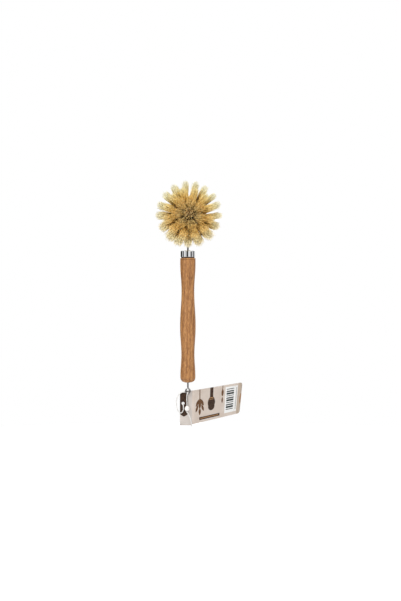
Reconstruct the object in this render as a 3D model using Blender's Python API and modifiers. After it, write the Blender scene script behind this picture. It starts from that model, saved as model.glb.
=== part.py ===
# Round-headed dish brush: a turned handle with a plated ferrule, a wire bail that carries the
# round head, 37 tufts of plant fibre, a wire hanging eye, and a folded card tag on a thread.
#
# Lengths are in metres. The brush stands upright with the origin on the handle's axis at its
# middle swell. Z runs up the handle to the head, the bristles face -Y, and X runs to the right.

import math
import random

import bmesh
import bpy
from mathutils import Matrix, Vector

# Fits shared by all pieces
GAP = 0.0003  # clearance between pieces that touch
MERGE = 0.00001  # points this near each other are one
OVERRUN = 0.003  # how far a cutter reaches past what it cuts

# Handle: heights from the origin, and diameters along it
SHOULDER_HEIGHT = 0.0784
BUTT_DEPTH = 0.0643
SHOULDER_DIAMETER = 0.0177
UPPER_WAIST_DIAMETER = 0.0147
SWELL_DIAMETER = 0.0180
LOWER_WAIST_DIAMETER = 0.0151
END_SWELL_DIAMETER = 0.0173
SHOULDER_CHAMFER = 0.0005
SHOULDER_BEAD = 0.0012  # height of the turned bead at the shoulder
BEAD_GROOVE = 0.0003  # depth of the scribed groove under it
SHOULDER_END_SHARE = 0.934  # shares of SHOULDER_HEIGHT
UPPER_WAIST_SHARE = 0.525
LOWER_WAIST_SHARE = 0.50  # shares of BUTT_DEPTH
END_SWELL_SHARE = 0.885
BUTT_ROUNDNESS = 3.0  # power of the butt's rounded end: 2 is an ellipse, more is squarer

# Ferrule: a drawn steel cap with a shallow cone on top
FERRULE_DIAMETER = 0.0169
FERRULE_HEIGHT = 0.0078
FERRULE_WALL = 0.0005
FERRULE_CONE = 0.0010
FERRULE_CORNER = 0.0008
FERRULE_STEP = 0.0007  # from the shoulder up to the ferrule's edge

# Bail: one spring wire, its two ends turned in as pivots, its middle folded into the handle
BAIL_WIRE_DIAMETER = 0.0019
BAIL_NECK = 0.0088  # from the ferrule's cone to where the arms part
BAIL_ROOM = 0.0108  # from the head block's edge down to where the arms part
BAIL_SIDE_ROOM = 0.0010  # between an arm and the block
BAIL_DEPTH = 0.0310  # how far the folded middle reaches into the handle
PIVOT_BEND_RADIUS = 0.0026
SHOULDER_BEND_RADIUS = 0.0140
CROTCH_BEND_RADIUS = 0.0045
SHOULDER_DROP_SHARE = 0.86  # height of the arm's bend under the pivot, over the block's radius

# Head block: a turned disc, domed in front and flat behind
BLOCK_DIAMETER = 0.0400
BLOCK_FRONT = 0.0140  # from the pivot axis to the dome's crown
BLOCK_BACK = 0.0070  # from the pivot axis to the flat back
DOME_HEIGHT = 0.0120
BLOCK_BACK_ROUND = 0.0022
PIVOT_HOLE_DEPTH = 0.0060
HEAD_SIDE_STEP = 0.0015  # the head sits this far right of the handle's axis

# Tufts: holes drilled into the dome, each with a bundle of plant fibre
TUFT_HOLE_DIAMETER = 0.0037
TUFT_HOLE_DEPTH = 0.0036
TUFT_LENGTH = 0.0240
TUFT_RISE = 0.0004  # how far the bound root stands out of its hole
STRANDS_IN_A_TUFT = 10
ROOT_SPREAD_SHARE = 0.70  # of the root's radius
STRAND_SHARE = 0.215  # thickness at root and middle, over the bundle's spread there
STRAND_TIP_SHARE = 0.15
MIDDLE_FAN_SHARE = 0.72  # of the fan at the tips
# Each ring: name, tufts, radius as a share of the block's, tilt from straight ahead, turn of its
# first tuft, fan at the tips as a share of the tuft's length
RING_SHARES = (
    ("centre", 1, 0.0, 0.0, 0.0, 0.125),
    ("inner", 7, 0.305, 18.0, 130.0, 0.155),
    ("middle", 12, 0.575, 38.0, 105.0, 0.190),
    ("outer", 17, 0.810, 58.0, 100.0, 0.193),
)
# Sideways lean of the outer tufts in degrees, in the order they are placed
OUTER_LEANS = (-5, -3, 0, 0, 4, 4, 5, 2, -2, -2, 0, 5, 1, -3, 0, -2, -3)

# Hanging eye: a wire with a round eye, its shank driven into the butt
EYE_WIRE_DIAMETER = 0.0018
EYE_WIDTH = 0.0066
EYE_HEIGHT = 0.0076
EYE_DROP = 0.0100  # from the butt to the eye's centre
EYE_SHANK = 0.0190  # in the wood
EYE_BEND_RADIUS = 0.0013

# Swing tag: a card with a short flap and a long panel, creased between them
TAG_HEIGHT = 0.0387
TAG_FLAP_WIDTH = 0.0142
TAG_FLAP_DROP = 0.0015  # the flap is this much deeper than the panel
TAG_PANEL_LENGTH = 0.0766
TAG_THICKNESS = 0.0004
TAG_CORNER_CUT = 0.0042
TAG_CORNER_RADIUS = 0.0032
TAG_CREASE_WIDTH = 0.0024
TAG_LEFT = 0.0092  # from the handle's axis to the flap's free edge
TAG_TOP = 0.0004  # from the eye's centre up to the card's top edge
TAG_HOLE_DIAMETER = 0.0034
TAG_HOLE_ACROSS = 0.0036  # from the free edge
TAG_HOLE_DOWN = 0.0148  # from the top edge
TURN_BACK_TOP = 38.9  # degrees that the panel turns away, at its top and bottom edges
TURN_BACK_BOTTOM = 42.9
RISE_TOP = 3.8  # degrees that the panel rises along its length
RISE_BOTTOM = 4.6
TAG_COLUMN = 0.0060  # spacing of the card's columns

# Thread loop and its lock
THREAD_DIAMETER = 0.0011
THREAD_STEP = 0.0016
LOCK_DIAMETER = 0.0055
LOCK_HEIGHT = 0.0056
LOCK_END_SHARE = 0.36  # radius of its flat ends, over its own
LOCK_ACROSS = 0.0010  # left of the handle's axis
LOCK_DOWN = 0.0201  # from the eye's centre to the lock's

# Counts of sides and steps
HANDLE_STEPS = 28
FERRULE_STEPS = 32
BLOCK_STEPS = 40
LOCK_STEPS = 16
HOLE_SIDES = 12
ROOT_SIDES = 6
STRAND_SIDES = 3
WIRE_RESOLUTION = 2
BEND_STEP_DEGREES = 18.0

# Places that follow from the sizes above
FERRULE_BASE = SHOULDER_HEIGHT + FERRULE_STEP
FERRULE_TOP = FERRULE_BASE + FERRULE_HEIGHT
TENON_TOP = FERRULE_TOP - FERRULE_WALL - GAP
TENON_RADIUS = FERRULE_DIAMETER / 2 - FERRULE_WALL - GAP
WIRE_RADIUS = BAIL_WIRE_DIAMETER / 2
LEG_STEP = WIRE_RADIUS + GAP / 2  # each leg's centre from the handle's axis
BORE_RADIUS = LEG_STEP + WIRE_RADIUS + GAP
BLOCK_RADIUS = BLOCK_DIAMETER / 2
CROTCH_HEIGHT = FERRULE_TOP + FERRULE_CONE + BAIL_NECK
PIVOT_HEIGHT = CROTCH_HEIGHT + BAIL_ROOM + BLOCK_RADIUS
ARM_STEP = BLOCK_RADIUS + BAIL_SIDE_ROOM + WIRE_RADIUS
PIVOT_END = BLOCK_RADIUS - PIVOT_HOLE_DEPTH + GAP
EYE_WIRE_RADIUS = EYE_WIRE_DIAMETER / 2
EYE_CENTRE = Vector((0.0, 0.0, -BUTT_DEPTH - EYE_DROP))
THREAD_RADIUS = THREAD_DIAMETER / 2
# The thread lies on the eye's lower wire, and the tag swings about it there
SWING_CENTRE = EYE_CENTRE - Vector((0.0, 0.0, EYE_HEIGHT / 2 - EYE_WIRE_DIAMETER - GAP - THREAD_RADIUS))
TAG_FRONT = EYE_WIRE_RADIUS + THREAD_DIAMETER + 2 * GAP
TAG_MIDDLE = TAG_FRONT + TAG_THICKNESS / 2

parts = bpy.data.collections.new("kitchen_brush")
helpers = bpy.data.collections.new("cutters")


def clear_scene():
    for obj in list(bpy.data.objects):
        bpy.data.objects.remove(obj, do_unlink=True)
    for collection in (parts, helpers):
        bpy.context.scene.collection.children.link(collection)
    helpers.hide_render = True


def finish(name, colour, roughness, metallic=0.0):
    """A Principled material."""
    made = bpy.data.materials.new(name)
    made.use_nodes = True
    shader = made.node_tree.nodes["Principled BSDF"]
    shader.inputs["Base Color"].default_value = (*colour, 1.0)
    shader.inputs["Roughness"].default_value = roughness
    shader.inputs["Metallic"].default_value = metallic
    return made


def place(name, data, look=None, parent=None):
    """An object of the brush, or with no look a helper that isn't part of it."""
    obj = bpy.data.objects.new(name, data)
    if look is None:
        helpers.objects.link(obj)
        obj.hide_render = True
        obj.display_type = "WIRE"
    else:
        parts.objects.link(obj)
        data.materials.append(look)
    obj.parent = parent
    return obj


def pivot(name, location, rotation=(0.0, 0.0, 0.0)):
    """An empty on a joint's axis."""
    empty = bpy.data.objects.new(name, None)
    parts.objects.link(empty)
    empty.location = location
    empty.rotation_euler = rotation
    return empty


def hang_on(obj, empty):
    """Parents an object that was made in place to an unturned empty."""
    obj.parent = empty
    obj.matrix_parent_inverse = Matrix.Translation(-empty.location)


def mesh_of(name, build):
    mesh = bpy.data.meshes.new(name)
    build.to_mesh(mesh)
    build.free()
    return mesh


def turned(name, profile, steps, look, ring=False):
    """A solid of revolution about Z. The profile lists (radius, height) down the outer side, and
    a ring's profile closes on itself."""
    build = bmesh.new()
    points = [build.verts.new((radius, 0.0, height)) for radius, height in profile]
    ends = points[1:] + points[:1] if ring else points[1:]
    for first, second in zip(points, ends):
        build.edges.new((first, second))
    obj = place(name, mesh_of(name, build), look)
    screw = obj.modifiers.new("turning", "SCREW")
    screw.axis = "Z"
    screw.steps = steps
    screw.render_steps = steps
    screw.use_merge_vertices = True
    screw.merge_threshold = MERGE
    screw.use_smooth_shade = True
    return obj


def boolean(obj, other, operation):
    change = obj.modifiers.new(operation.lower(), "BOOLEAN")
    change.operation = operation
    change.solver = "EXACT"
    change.object = other


def wire(name, points, diameter, look):
    """A round wire or thread along a list of points."""
    curve = bpy.data.curves.new(name, "CURVE")
    curve.dimensions = "3D"
    curve.bevel_depth = diameter / 2
    curve.bevel_resolution = WIRE_RESOLUTION
    curve.use_fill_caps = True
    spline = curve.splines.new("POLY")
    spline.points.add(len(points) - 1)
    for target, point in zip(spline.points, points):
        target.co = (*point, 1.0)
    return place(name, curve, look)


def rounded(corners):
    """Points along straight runs with round bends. Each corner is (point, bend radius)."""
    found = [Vector(corners[0][0])]
    for (before, _), (corner, radius), (after, _) in zip(corners, corners[1:], corners[2:]):
        corner = Vector(corner)
        back = (Vector(before) - corner).normalized()
        on = (Vector(after) - corner).normalized()
        turn = math.pi - back.angle(on)
        reach = radius * math.tan(turn / 2)
        centre = corner + (back + on).normalized() * radius / math.cos(turn / 2)
        start = corner + back * reach - centre
        axis = start.cross(corner + on * reach - centre).normalized()
        steps = max(2, math.ceil(math.degrees(turn) / BEND_STEP_DEGREES))
        for step in range(steps + 1):
            found.append(centre + Matrix.Rotation(turn * step / steps, 3, axis) @ start)
    found.append(Vector(corners[-1][0]))
    return found


def smooth_route(points, step):
    """Evenly spaced points on a smooth curve through the given ones."""
    points = [Vector(point) for point in points]
    points = [2 * points[0] - points[1], *points, 2 * points[-1] - points[-2]]
    fine = []
    for p0, p1, p2, p3 in zip(points, points[1:], points[2:], points[3:]):
        for index in range(24):
            t = index / 24
            fine.append(
                p1
                + (p2 - p0) * t / 2
                + (2 * p0 - 5 * p1 + 4 * p2 - p3) * t**2 / 2
                + (3 * p1 - p0 - 3 * p2 + p3) * t**3 / 2
            )
    fine.append(points[-2])
    lengths = [0.0]
    for first, second in zip(fine, fine[1:]):
        lengths.append(lengths[-1] + (second - first).length)
    count = max(2, round(lengths[-1] / step))
    found, index = [], 0
    for number in range(count + 1):
        wanted = lengths[-1] * number / count
        while index < len(fine) - 2 and lengths[index + 1] < wanted:
            index += 1
        share = (wanted - lengths[index]) / (lengths[index + 1] - lengths[index])
        found.append(fine[index].lerp(fine[index + 1], share))
    return found, lengths[-1]


def wave(start, end, share):
    """From start to end as half a cosine wave."""
    return start + (end - start) * (1 - math.cos(math.pi * share)) / 2


def make_handle(look):
    """Turned from one piece: tenon, shoulder, three swells and a rounded butt, bored at both ends."""
    bore_end = SHOULDER_HEIGHT - BAIL_DEPTH
    pilot_radius = EYE_WIRE_RADIUS + GAP
    pilot_end = EYE_SHANK + GAP - BUTT_DEPTH
    shoulder = SHOULDER_DIAMETER / 2
    end_height = -END_SWELL_SHARE * BUTT_DEPTH
    stations = (
        (SHOULDER_END_SHARE * SHOULDER_HEIGHT, shoulder),
        (UPPER_WAIST_SHARE * SHOULDER_HEIGHT, UPPER_WAIST_DIAMETER / 2),
        (0.0, SWELL_DIAMETER / 2),
        (-LOWER_WAIST_SHARE * BUTT_DEPTH, LOWER_WAIST_DIAMETER / 2),
        (end_height, END_SWELL_DIAMETER / 2),
    )
    profile = [
        (0.0, bore_end),
        (BORE_RADIUS, bore_end),
        (BORE_RADIUS, TENON_TOP),
        (TENON_RADIUS, TENON_TOP),
        (TENON_RADIUS, SHOULDER_HEIGHT),
        (shoulder - SHOULDER_CHAMFER, SHOULDER_HEIGHT),
        (shoulder, SHOULDER_HEIGHT - SHOULDER_CHAMFER),
        (shoulder, SHOULDER_HEIGHT - SHOULDER_BEAD),
        (shoulder - BEAD_GROOVE, SHOULDER_HEIGHT - SHOULDER_BEAD - BEAD_GROOVE),
        (shoulder, SHOULDER_HEIGHT - SHOULDER_BEAD - 2 * BEAD_GROOVE),
    ]
    for (top, first), (bottom, second) in zip(stations, stations[1:]):
        for step in range(6):
            share = step / 6
            profile.append((wave(first, second, share), top + (bottom - top) * share))
    radius, drop = END_SWELL_DIAMETER / 2, BUTT_DEPTH + end_height
    for share in (0.0, 0.3, 0.55, 0.75, 0.88, 0.95):
        width = radius * (1 - share**BUTT_ROUNDNESS) ** (1 / BUTT_ROUNDNESS)
        profile.append((width, end_height - drop * share))
    profile += [
        ((radius + pilot_radius) / 2, -BUTT_DEPTH),
        (pilot_radius, -BUTT_DEPTH),
        (pilot_radius, pilot_end),
        (0.0, pilot_end),
    ]
    turned("handle", profile, HANDLE_STEPS, look)


def make_ferrule(look):
    """A cap of even wall with a round corner and a cone that closes round the bail."""
    outer = FERRULE_DIAMETER / 2
    corner = []
    for step in range(5):
        angle = math.pi / 2 * (1 - step / 4)
        corner.append(
            (
                outer - FERRULE_CORNER * (1 - math.cos(angle)),
                FERRULE_TOP - FERRULE_CORNER * (1 - math.sin(angle)),
            )
        )
    profile = [
        (BORE_RADIUS, FERRULE_TOP + FERRULE_CONE),
        *corner,
        (outer, FERRULE_BASE),
        (outer - FERRULE_WALL, FERRULE_BASE),
        (outer - FERRULE_WALL, FERRULE_TOP - FERRULE_WALL),
        (BORE_RADIUS, FERRULE_TOP - FERRULE_WALL + FERRULE_CONE),
    ]
    turned("ferrule", profile, FERRULE_STEPS, look, ring=True)


def make_bail(look):
    """One wire from pivot to pivot, by way of a fold deep in the handle."""
    shoulder = PIVOT_HEIGHT - SHOULDER_DROP_SHARE * BLOCK_RADIUS
    fold = SHOULDER_HEIGHT - BAIL_DEPTH + GAP + WIRE_RADIUS
    sides = []
    for side in (-1, 1):
        leg = side * LEG_STEP
        sides.append(
            [
                ((HEAD_SIDE_STEP + side * PIVOT_END, 0.0, PIVOT_HEIGHT), 0.0),
                ((HEAD_SIDE_STEP + side * ARM_STEP, 0.0, PIVOT_HEIGHT), PIVOT_BEND_RADIUS),
                ((HEAD_SIDE_STEP + side * ARM_STEP, leg / 2, shoulder), SHOULDER_BEND_RADIUS),
                ((0.0, leg, CROTCH_HEIGHT), CROTCH_BEND_RADIUS),
                ((0.0, leg, fold), LEG_STEP),
            ]
        )
    left, right = sides
    wire("head_bail", rounded(left + right[::-1]), BAIL_WIRE_DIAMETER, look)


def dome(radius):
    """Height of the block's front over the pivot axis, at a radius from its centre."""
    share = min(radius / BLOCK_RADIUS, 1.0)
    return BLOCK_FRONT - DOME_HEIGHT * (1 - math.sqrt(1 - share**2))


def tuft_places():
    """(name, ring, matrix in the head's frame, fan, lean) of each tuft. Z runs out along the tuft."""
    found = []
    for ring, count, radius_share, tilt, first_turn, fan_share in RING_SHARES:
        radius = radius_share * BLOCK_RADIUS
        for number in range(count):
            turn = math.radians(first_turn - 360 * number / count)
            mouth = (radius * math.cos(turn), radius * math.sin(turn), dome(radius))
            turning = Matrix.Rotation(turn, 4, "Z") @ Matrix.Rotation(math.radians(tilt), 4, "Y")
            name = f"tuft_{ring}" if count == 1 else f"tuft_{ring}_{number + 1:02d}"
            lean = OUTER_LEANS[number] if ring == "outer" else 0
            found.append((name, Matrix.Translation(mouth) @ turning, fan_share * TUFT_LENGTH, lean))
    return found


def make_head_block(head, look):
    """The turned disc, with its drilled tuft holes and the two pivot holes."""
    profile = []
    for step in range(10):
        radius = BLOCK_RADIUS * math.sin(math.pi / 2 * step / 9)
        profile.append((radius, dome(radius)))
    for step in range(5):
        angle = math.pi / 2 * step / 4
        profile.append(
            (
                BLOCK_RADIUS - BLOCK_BACK_ROUND * (1 - math.cos(angle)),
                -BLOCK_BACK + BLOCK_BACK_ROUND * (1 - math.sin(angle)),
            )
        )
    profile.append((0.0, -BLOCK_BACK))
    block = turned("head_block", profile, BLOCK_STEPS, look)
    block.parent = head
    build = bmesh.new()
    for _, matrix, _, _ in tuft_places():
        middle = Matrix.Translation((0.0, 0.0, (OVERRUN - TUFT_HOLE_DEPTH) / 2))
        bmesh.ops.create_cone(
            build,
            cap_ends=True,
            segments=HOLE_SIDES,
            radius1=TUFT_HOLE_DIAMETER / 2,
            radius2=TUFT_HOLE_DIAMETER / 2,
            depth=TUFT_HOLE_DEPTH + OVERRUN,
            matrix=matrix @ middle,
        )
    for side in (-1, 1):
        reach = BLOCK_RADIUS + (OVERRUN - PIVOT_HOLE_DEPTH) / 2
        bmesh.ops.create_cone(
            build,
            cap_ends=True,
            segments=HOLE_SIDES,
            radius1=WIRE_RADIUS + GAP,
            radius2=WIRE_RADIUS + GAP,
            depth=PIVOT_HOLE_DEPTH + OVERRUN,
            matrix=Matrix.Translation((side * reach, 0.0, 0.0)) @ Matrix.Rotation(math.pi / 2, 4, "Y"),
        )
    drill = place("block_drill", mesh_of("block_drill", build), parent=head)
    boolean(block, drill, "DIFFERENCE")


def add_strand(build, turn, radius, levels):
    """A three-sided strand through (centre, thickness) levels. The middle and the tip are moved to
    theirs after the tip is drawn out of the middle."""
    verts = bmesh.ops.create_cone(
        build,
        cap_ends=True,
        segments=STRAND_SIDES,
        radius1=radius,
        radius2=radius,
        depth=TUFT_LENGTH,
        matrix=Matrix.Rotation(turn, 4, "Z"),
    )["verts"]
    root = [vert for vert in verts if vert.co.z < 0]
    middle = [vert for vert in verts if vert.co.z > 0]
    top = next(face for face in middle[0].link_faces if set(face.verts) == set(middle))
    tip = bmesh.ops.extrude_discrete_faces(build, faces=[top])["faces"][0]
    for ring, (centre, thickness) in zip((root, middle, tip.verts), levels):
        for vert in ring:
            flat = Vector((vert.co.x, vert.co.y, 0.0))
            vert.co = centre + flat * (thickness / radius)


def strands_of(name, fan, lean, chance):
    """A bundle that fans out from the root. Its strands keep their order, so that none cross."""
    root_radius = TUFT_HOLE_DIAMETER / 2 - GAP
    drift = math.tan(math.radians(lean)) * TUFT_LENGTH
    build = bmesh.new()
    for number in range(STRANDS_IN_A_TUFT):
        turn = number * math.pi * (3 - math.sqrt(5)) + chance.uniform(-0.06, 0.06)
        reach = math.sqrt((number + 0.5) / STRANDS_IN_A_TUFT)
        way = Vector((math.cos(turn), math.sin(turn), 0.0)) * reach
        length = TUFT_LENGTH * chance.uniform(0.94, 1.0)
        levels = []
        for height, spread, aside, share in (
            (-TUFT_HOLE_DEPTH / 4, ROOT_SPREAD_SHARE * root_radius, 0.0, STRAND_SHARE),
            (length / 2, MIDDLE_FAN_SHARE * fan, drift / 4, STRAND_SHARE),
            (length, fan, drift, STRAND_TIP_SHARE),
        ):
            levels.append((way * spread + Vector((0.0, aside, height)), share * spread))
        add_strand(build, turn, root_radius, levels)
    return mesh_of(name, build)


def make_tufts(head, look):
    """Each tuft is a bound root in its hole with its strands joined to it."""
    root_radius = TUFT_HOLE_DIAMETER / 2 - GAP
    root_depth = TUFT_HOLE_DEPTH - GAP
    chance = random.Random(11)
    for name, matrix, fan, lean in tuft_places():
        build = bmesh.new()
        bmesh.ops.create_cone(
            build,
            cap_ends=True,
            segments=ROOT_SIDES,
            radius1=root_radius,
            radius2=root_radius,
            depth=root_depth + TUFT_RISE,
            matrix=Matrix.Translation((0.0, 0.0, (TUFT_RISE - root_depth) / 2)),
        )
        tuft = place(name, mesh_of(name, build), look, parent=head)
        bundle = place(f"{name}_strands", strands_of(name, fan, lean, chance), parent=head)
        for obj in (tuft, bundle):
            obj.matrix_local = matrix
        boolean(tuft, bundle, "UNION")


def make_eye(look):
    """The shank runs straight up into the butt, and the wire closes round an oval beside it."""
    across = EYE_WIDTH / 2 - EYE_WIRE_RADIUS
    up = EYE_HEIGHT / 2 - EYE_WIRE_RADIUS
    top = EYE_CENTRE + Vector((0.0, 0.0, up))
    shank_top = Vector((0.0, 0.0, EYE_SHANK - BUTT_DEPTH))
    # The oval starts beyond the bend under the shank and stops a gap short of the shank
    start = math.asin(EYE_BEND_RADIUS / across)
    end = 2 * math.pi - math.asin((EYE_WIRE_DIAMETER + GAP) / 2 / across)
    bend = [
        top + Vector((EYE_BEND_RADIUS * (1 - math.cos(turn)), 0.0, EYE_BEND_RADIUS * (1 - math.sin(turn))))
        for turn in (math.radians(15 * step) for step in range(5))
    ]
    oval = []
    for step in range(25):
        turn = start + (end - start) * step / 24
        oval.append(EYE_CENTRE + Vector((across * math.sin(turn), 0.0, up * math.cos(turn))))
    wire("screw_eye", [shank_top, *bend, *oval], EYE_WIRE_DIAMETER, look)


def tag_point(along, down):
    """Where a point of the flat card lies: along from the free edge, and down from the top."""
    left = Vector((-TAG_LEFT, TAG_MIDDLE, EYE_CENTRE.z + TAG_TOP - down))
    past = along - TAG_FLAP_WIDTH
    if past <= 0:
        return left + Vector((along, 0.0, 0.0))
    share = down / TAG_HEIGHT
    turn = math.radians(TURN_BACK_TOP + (TURN_BACK_BOTTOM - TURN_BACK_TOP) * share)
    rise = math.radians(RISE_TOP + (RISE_BOTTOM - RISE_TOP) * share)
    bent = min(past, TAG_CREASE_WIDTH)
    angle = turn * bent / TAG_CREASE_WIDTH
    radius = TAG_CREASE_WIDTH / turn
    across = radius * math.sin(angle) + (past - bent) * math.cos(turn)
    back = radius * (1 - math.cos(angle)) + (past - bent) * math.sin(turn)
    return left + Vector((TAG_FLAP_WIDTH + across, back, past * math.sin(rise)))


def make_tag(swing, look):
    """A flat outline, cut into columns, bent at the crease, then given its thickness."""
    length = TAG_FLAP_WIDTH + TAG_PANEL_LENGTH
    deep = TAG_HEIGHT + TAG_FLAP_DROP
    outline = [
        (0.0, deep),
        (0.0, TAG_CORNER_CUT),
        (0.85 * TAG_CORNER_CUT, 0.42 * TAG_CORNER_CUT),
        (2.2 * TAG_CORNER_CUT, 0.0),
    ]
    for start, across, down in ((-90, length, 0.0), (0, length, TAG_HEIGHT)):
        inward = 1 if down == 0.0 else -1
        for step in range(5):
            turn = math.radians(start + 90 * step / 4)
            outline.append(
                (
                    across - TAG_CORNER_RADIUS * (1 - math.cos(turn)),
                    down + inward * TAG_CORNER_RADIUS * (1 - abs(math.sin(turn))),
                )
            )
    outline += [(TAG_FLAP_WIDTH, TAG_HEIGHT), (TAG_FLAP_WIDTH - TAG_FLAP_DROP, deep)]
    build = bmesh.new()
    build.faces.new([build.verts.new((along, -down, 0.0)) for along, down in outline])
    columns = [TAG_FLAP_WIDTH + TAG_CREASE_WIDTH * step / 3 for step in range(4)]
    while columns[-1] < length - TAG_COLUMN:
        columns.append(columns[-1] + TAG_COLUMN)
    for along in columns:
        geometry = build.verts[:] + build.edges[:] + build.faces[:]
        bmesh.ops.bisect_plane(
            build, geom=geometry, dist=MERGE, plane_co=(along, 0.0, 0.0), plane_no=(1.0, 0.0, 0.0)
        )
    bmesh.ops.triangulate(build, faces=build.faces[:])
    for vert in build.verts:
        vert.co = tag_point(vert.co.x, -vert.co.y)
    tag = place("swing_tag", mesh_of("swing_tag", build), look)
    hang_on(tag, swing)
    card = tag.modifiers.new("card", "SOLIDIFY")
    card.thickness = TAG_THICKNESS
    card.offset = 0.0
    centre = Matrix.Translation(tag_point(TAG_HOLE_ACROSS, TAG_HOLE_DOWN))
    build = bmesh.new()
    bmesh.ops.create_cone(
        build,
        cap_ends=True,
        segments=HOLE_SIDES,
        radius1=TAG_HOLE_DIAMETER / 2,
        radius2=TAG_HOLE_DIAMETER / 2,
        depth=TAG_THICKNESS + OVERRUN,
        matrix=centre @ Matrix.Rotation(math.pi / 2, 4, "X"),
    )
    punch = place("tag_punch", mesh_of("tag_punch", build))
    hang_on(punch, swing)
    boolean(tag, punch, "DIFFERENCE")


def thread_route():
    """From the top of the lock up to the eye, through it, round the card's free edge, through the
    card's hole, down behind the card, under its bottom edge and back up to the lock."""
    return (
        (-0.00100, -0.00045, -0.09130),
        (-0.00100, -0.00050, -0.08990),
        (-0.00105, -0.00095, -0.08680),
        (-0.00120, -0.00155, -0.08300),
        (-0.00110, -0.00180, -0.07960),
        (-0.00070, -0.00190, -0.07750),
        (-0.00030, -0.00168, -0.07640),
        (-0.00010, -0.00094, -0.07562),
        (-0.00012, 0.00000, -0.07533),
        (-0.00055, 0.00098, -0.07538),
        (-0.00145, 0.00162, -0.07566),
        (-0.00320, 0.00175, -0.07582),
        (-0.00600, 0.00160, -0.07580),
        (-0.00880, 0.00110, -0.07700),
        (-0.01150, 0.00080, -0.08020),
        (-0.01310, 0.00070, -0.08450),
        (-0.01330, 0.00070, -0.08950),
        (-0.01240, 0.00080, -0.09420),
        (-0.01080, 0.00110, -0.09790),
        (-0.00860, 0.00145, -0.09960),
        (-0.00660, 0.00160, -0.09890),
        (-0.00540, 0.00160, -0.09620),
        (-0.00515, 0.00145, -0.09300),
        (-0.00535, 0.00120, -0.09080),
        (-0.00552, 0.00146, -0.08920),
        (-0.00560, 0.00240, -0.08818),
        (-0.00560, 0.00370, -0.08812),
        (-0.00552, 0.00474, -0.08900),
        (-0.00525, 0.00520, -0.09050),
        (-0.00430, 0.00510, -0.09300),
        (-0.00180, 0.00490, -0.09800),
        (0.00120, 0.00490, -0.10430),
        (0.00360, 0.00480, -0.11000),
        (0.00420, 0.00488, -0.11250),
        (0.00440, 0.00458, -0.11430),
        (0.00450, 0.00356, -0.11522),
        (0.00450, 0.00234, -0.11527),
        (0.00445, 0.00136, -0.11445),
        (0.00425, 0.00092, -0.11280),
        (0.00395, 0.00088, -0.11100),
        (0.00340, 0.00080, -0.10820),
        (0.00210, 0.00040, -0.10380),
        (0.00030, -0.00020, -0.10020),
        (-0.00080, -0.00042, -0.09870),
        (-0.00100, -0.00045, -0.09750),
    )


def make_string(swing, thread_look, lock_look):
    points, length = smooth_route(thread_route(), THREAD_STEP)
    print(f"thread: {length * 1000:.1f} mm in {len(points)} points")
    hang_on(wire("tag_string", points, THREAD_DIAMETER, thread_look), swing)
    radius, half = LOCK_DIAMETER / 2, LOCK_HEIGHT / 2
    flat = math.acos(LOCK_END_SHARE)
    profile = [(0.0, half)]
    for step in range(9):
        turn = flat - 2 * flat * step / 8
        profile.append((radius * math.cos(turn), half * math.sin(turn) / math.sin(flat)))
    profile.append((0.0, -half))
    lock = turned("string_lock", profile, LOCK_STEPS, lock_look)
    lock.parent = swing
    centre = Vector((-LOCK_ACROSS, TAG_FRONT - GAP - radius, EYE_CENTRE.z - LOCK_DOWN))
    lock.location = centre - swing.location


def main():
    clear_scene()
    wood = finish("beech", (0.45, 0.22, 0.09), 0.5)
    plated = finish("plated steel", (0.75, 0.75, 0.76), 0.15, 1.0)
    spring = finish("spring wire", (0.55, 0.55, 0.55), 0.3, 1.0)
    fibre = finish("plant fibre", (0.62, 0.45, 0.19), 0.75)
    card = finish("printed card", (0.55, 0.48, 0.42), 0.6)
    thread = finish("white thread", (0.85, 0.82, 0.78), 0.7)
    plastic = finish("white plastic", (0.86, 0.84, 0.82), 0.35)
    make_handle(wood)
    make_ferrule(plated)
    make_bail(spring)
    make_eye(spring)
    # The head's own frame: Z out of the bristles, Y up
    head = pivot("head_pivot", (HEAD_SIDE_STEP, 0.0, PIVOT_HEIGHT), (math.pi / 2, 0.0, 0.0))
    make_head_block(head, wood)
    make_tufts(head, fibre)
    swing = pivot("tag_pivot", SWING_CENTRE)
    make_tag(swing, card)
    make_string(swing, thread, plastic)


main()
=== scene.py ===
import math
import random
import bmesh
import bpy
from mathutils import Matrix, Vector


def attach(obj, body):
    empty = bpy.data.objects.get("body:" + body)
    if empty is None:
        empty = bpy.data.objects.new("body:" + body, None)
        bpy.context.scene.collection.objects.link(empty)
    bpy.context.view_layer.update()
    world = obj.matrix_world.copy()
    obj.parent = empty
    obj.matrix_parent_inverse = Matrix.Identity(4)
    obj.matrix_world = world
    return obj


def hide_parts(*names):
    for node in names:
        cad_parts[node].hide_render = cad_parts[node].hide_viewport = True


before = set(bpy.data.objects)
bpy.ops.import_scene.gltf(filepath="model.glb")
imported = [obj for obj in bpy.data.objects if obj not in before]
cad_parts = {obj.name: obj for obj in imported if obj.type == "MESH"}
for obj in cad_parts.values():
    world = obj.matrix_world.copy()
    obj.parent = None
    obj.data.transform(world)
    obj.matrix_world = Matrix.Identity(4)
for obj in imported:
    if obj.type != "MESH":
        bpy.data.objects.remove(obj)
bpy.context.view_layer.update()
print("frame loaded")

sharpAngle = math.radians(38)  # edges that bend more than this stay crisp
weld = 0.000002  # points closer than this are one


# Small helpers for meshes

def plainMesh(build, name):
    mesh = bpy.data.meshes.new(name)
    build.to_mesh(mesh)
    build.free()
    return mesh


def smoothMesh(build, name):
    mesh = plainMesh(build, name)
    mesh.shade_smooth()
    mesh.set_sharp_from_angle(angle=sharpAngle)
    return mesh


def placeObject(name, data):
    placed = bpy.data.objects.new(name, data)
    bpy.context.scene.collection.objects.link(placed)
    return placed


def evaluatedMesh(made):
    depsgraph = bpy.context.evaluated_depsgraph_get()
    return bpy.data.meshes.new_from_object(made.evaluated_get(depsgraph))


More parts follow.
